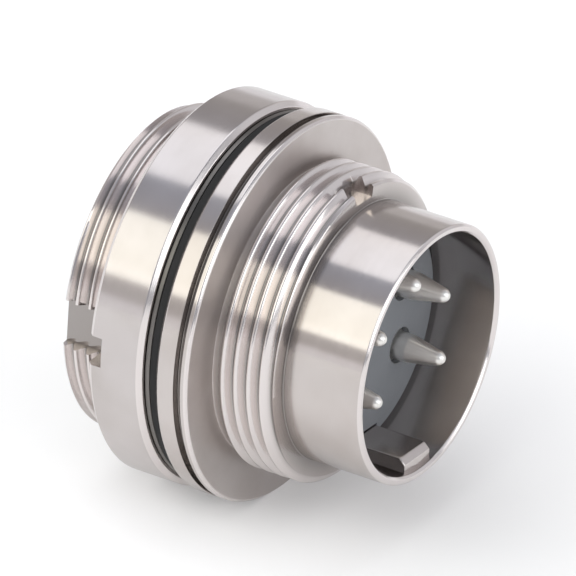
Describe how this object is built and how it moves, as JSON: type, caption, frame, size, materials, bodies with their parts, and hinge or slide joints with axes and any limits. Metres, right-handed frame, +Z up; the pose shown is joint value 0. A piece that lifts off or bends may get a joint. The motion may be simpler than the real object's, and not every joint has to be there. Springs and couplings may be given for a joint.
{
  "type": "panel plug",
  "caption": "Round male panel connector: keyed barrel with pins, coupling thread, flange with seal, rear thread with ring nut, and solder cups.",
  "frame": {"origin": "centre of the flange's rear face, on the plug's axis, where the panel comes", "axes": "+X along the axis towards the mating rim, +Z up with the barrel's key below, +Y to the side away from the keyway"},
  "size_m": [0.0181, 0.02, 0.02],
  "materials": {
    "nickel": "nickel plated, turned",
    "nickel_nut": "nickel plated, turned",
    "contact": "silver plated, turned",
    "spring_steel": "phosphated",
    "rubber": "matt, smooth",
    "insulator": "moulded, dark grey"
  },
  "bodies": {
    "plug": {"shell": "nickel", "panel_seal": "rubber", "contact_carrier": "insulator", "carrier_seal": "rubber", "rear_insulator": "insulator", "retaining_ring": "spring_steel", "contact_pin_1": "contact", "contact_pin_2": "contact", "contact_pin_3": "contact", "contact_pin_4": "contact", "contact_pin_5": "contact"},
    "washer": {"slip_washer": "nickel_nut"},
    "nut": {"ring_nut": "nickel_nut"}
  },
  "joints": [
    {"name": "nut_travel", "type": "slide", "parent": "plug", "child": "washer", "axis": [-1, 0, 0], "range_m": [0, 0.0047]},
    {"name": "nut_turn", "type": "hinge", "parent": "washer", "child": "nut", "pos_m": [0, 0, 0], "axis": [-1, 0, 0], "range_deg": [0, 2250]}
  ],
  "couplings": [
    {"joint": "nut_travel", "follows": "nut_turn", "m_per_rad": 0.00011937}
  ]
}
